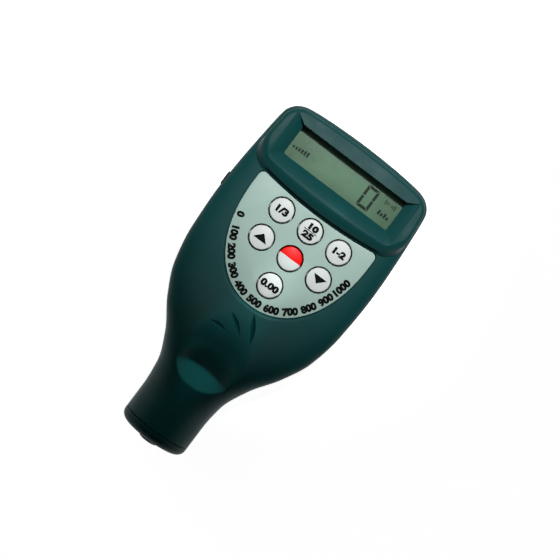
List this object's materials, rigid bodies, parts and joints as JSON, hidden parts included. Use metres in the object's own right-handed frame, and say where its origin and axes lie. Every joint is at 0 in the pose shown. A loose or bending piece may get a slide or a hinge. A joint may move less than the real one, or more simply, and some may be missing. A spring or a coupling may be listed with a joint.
{
  "type": "coating thickness gauge",
  "caption": "Hand-held coating thickness gauge: paddle-shaped housing with a raised display hood, shield keypad, thumb scoop and a round neck that ends in a spring-loaded probe.",
  "frame": {"origin": "under the middle of the housing, on the surface that its back rests on", "axes": "+X to the right seen on the face, +Y from the probe to the display end, +Z out of the display face"},
  "size_m": [0.0653, 0.1256, 0.027],
  "materials": {
    "housing_green": "moulded, fine satin texture",
    "faceplate_grey": "printed, satin",
    "key_white": "moulded, satin",
    "clear_lens": "clear, polished",
    "lcd_green": "display glass with a grey-green reflector",
    "black_rubber": "matt",
    "black_plastic": "moulded",
    "white_plastic": "moulded",
    "board_green": "glass-fibre laminate with solder mask",
    "steel": "turned",
    "nickel": "nickel plated",
    "brass": "turned",
    "copper": "enamelled copper winding",
    "cell_jacket": "plain sleeve"
  },
  "bodies": {
    "housing": {"front_case": "housing_green", "rear_case": "housing_green", "nose_cap": "housing_green", "keypad_faceplate": "faceplate_grey", "display_window": "clear_lens", "lcd_panel": "lcd_green", "lcd_frame": "black_plastic", "zebra_strip_upper": "black_rubber", "zebra_strip_lower": "black_rubber", "main_board": "board_green", "microcontroller": "black_plastic", "probe_connector": "white_plastic", "data_jack": "black_plastic", "port_cover": "black_rubber", "probe_barrel": "brass", "probe_lead": "black_rubber", "probe_spring": "steel", "contact_positive": "nickel", "contact_bridge_1": "nickel", "contact_bridge_2": "nickel", "contact_bridge_3": "nickel", "contact_negative": "nickel", "board_screw_1": "steel", "board_screw_2": "steel", "battery_1": "cell_jacket", "battery_2": "cell_jacket", "battery_3": "cell_jacket", "battery_4": "cell_jacket", "case_screw_1": "steel", "case_screw_2": "steel", "case_screw_3": "steel", "case_screw_4": "steel", "switch_mode": "black_plastic", "switch_units": "black_plastic", "switch_substrate": "black_plastic", "switch_up": "black_plastic", "switch_power": "black_plastic", "switch_down": "black_plastic", "switch_zero": "black_plastic"},
    "battery_door": {"battery_door": "housing_green"},
    "probe": {"probe_sleeve": "black_plastic", "probe_tip": "steel", "probe_core": "nickel", "probe_bobbin": "white_plastic", "probe_coil": "copper"},
    "key_mode": {"key_mode": "key_white", "plunger_mode": "white_plastic"},
    "key_units": {"key_units": "key_white", "plunger_units": "white_plastic"},
    "key_substrate": {"key_substrate": "key_white", "plunger_substrate": "white_plastic"},
    "key_up": {"key_up": "key_white", "plunger_up": "white_plastic"},
    "key_power": {"key_power": "key_white", "plunger_power": "white_plastic"},
    "key_down": {"key_down": "key_white", "plunger_down": "white_plastic"},
    "key_zero": {"key_zero": "key_white", "plunger_zero": "white_plastic"}
  },
  "joints": [
    {"name": "key_mode_press", "type": "slide", "parent": "housing", "child": "key_mode", "axis": [0, 0, -1], "range_m": [0, 0.0004], "stiffness_N_per_m": 1500, "springref_m": -0.0004},
    {"name": "key_units_press", "type": "slide", "parent": "housing", "child": "key_units", "axis": [0, 0, -1], "range_m": [0, 0.0004], "stiffness_N_per_m": 1500, "springref_m": -0.0004},
    {"name": "key_substrate_press", "type": "slide", "parent": "housing", "child": "key_substrate", "axis": [0, 0, -1], "range_m": [0, 0.0004], "stiffness_N_per_m": 1500, "springref_m": -0.0004},
    {"name": "key_up_press", "type": "slide", "parent": "housing", "child": "key_up", "axis": [0, 0, -1], "range_m": [0, 0.0004], "stiffness_N_per_m": 1500, "springref_m": -0.0004},
    {"name": "key_power_press", "type": "slide", "parent": "housing", "child": "key_power", "axis": [0, 0, -1], "range_m": [0, 0.0004], "stiffness_N_per_m": 1500, "springref_m": -0.0004},
    {"name": "key_down_press", "type": "slide", "parent": "housing", "child": "key_down", "axis": [0, 0, -1], "range_m": [0, 0.0004], "stiffness_N_per_m": 1500, "springref_m": -0.0004},
    {"name": "key_zero_press", "type": "slide", "parent": "housing", "child": "key_zero", "axis": [0, 0, -1], "range_m": [0, 0.0004], "stiffness_N_per_m": 1500, "springref_m": -0.0004},
    {"name": "battery_door_slide", "type": "slide", "parent": "housing", "child": "battery_door", "axis": [0, 1, 0], "range_m": [0, 0.062]},
    {"name": "probe_press", "type": "slide", "parent": "housing", "child": "probe", "axis": [0, 1, 0], "range_m": [0, 0.0009], "stiffness_N_per_m": 400, "springref_m": -0.002, "deforming": ["probe_spring"]}
  ]
}
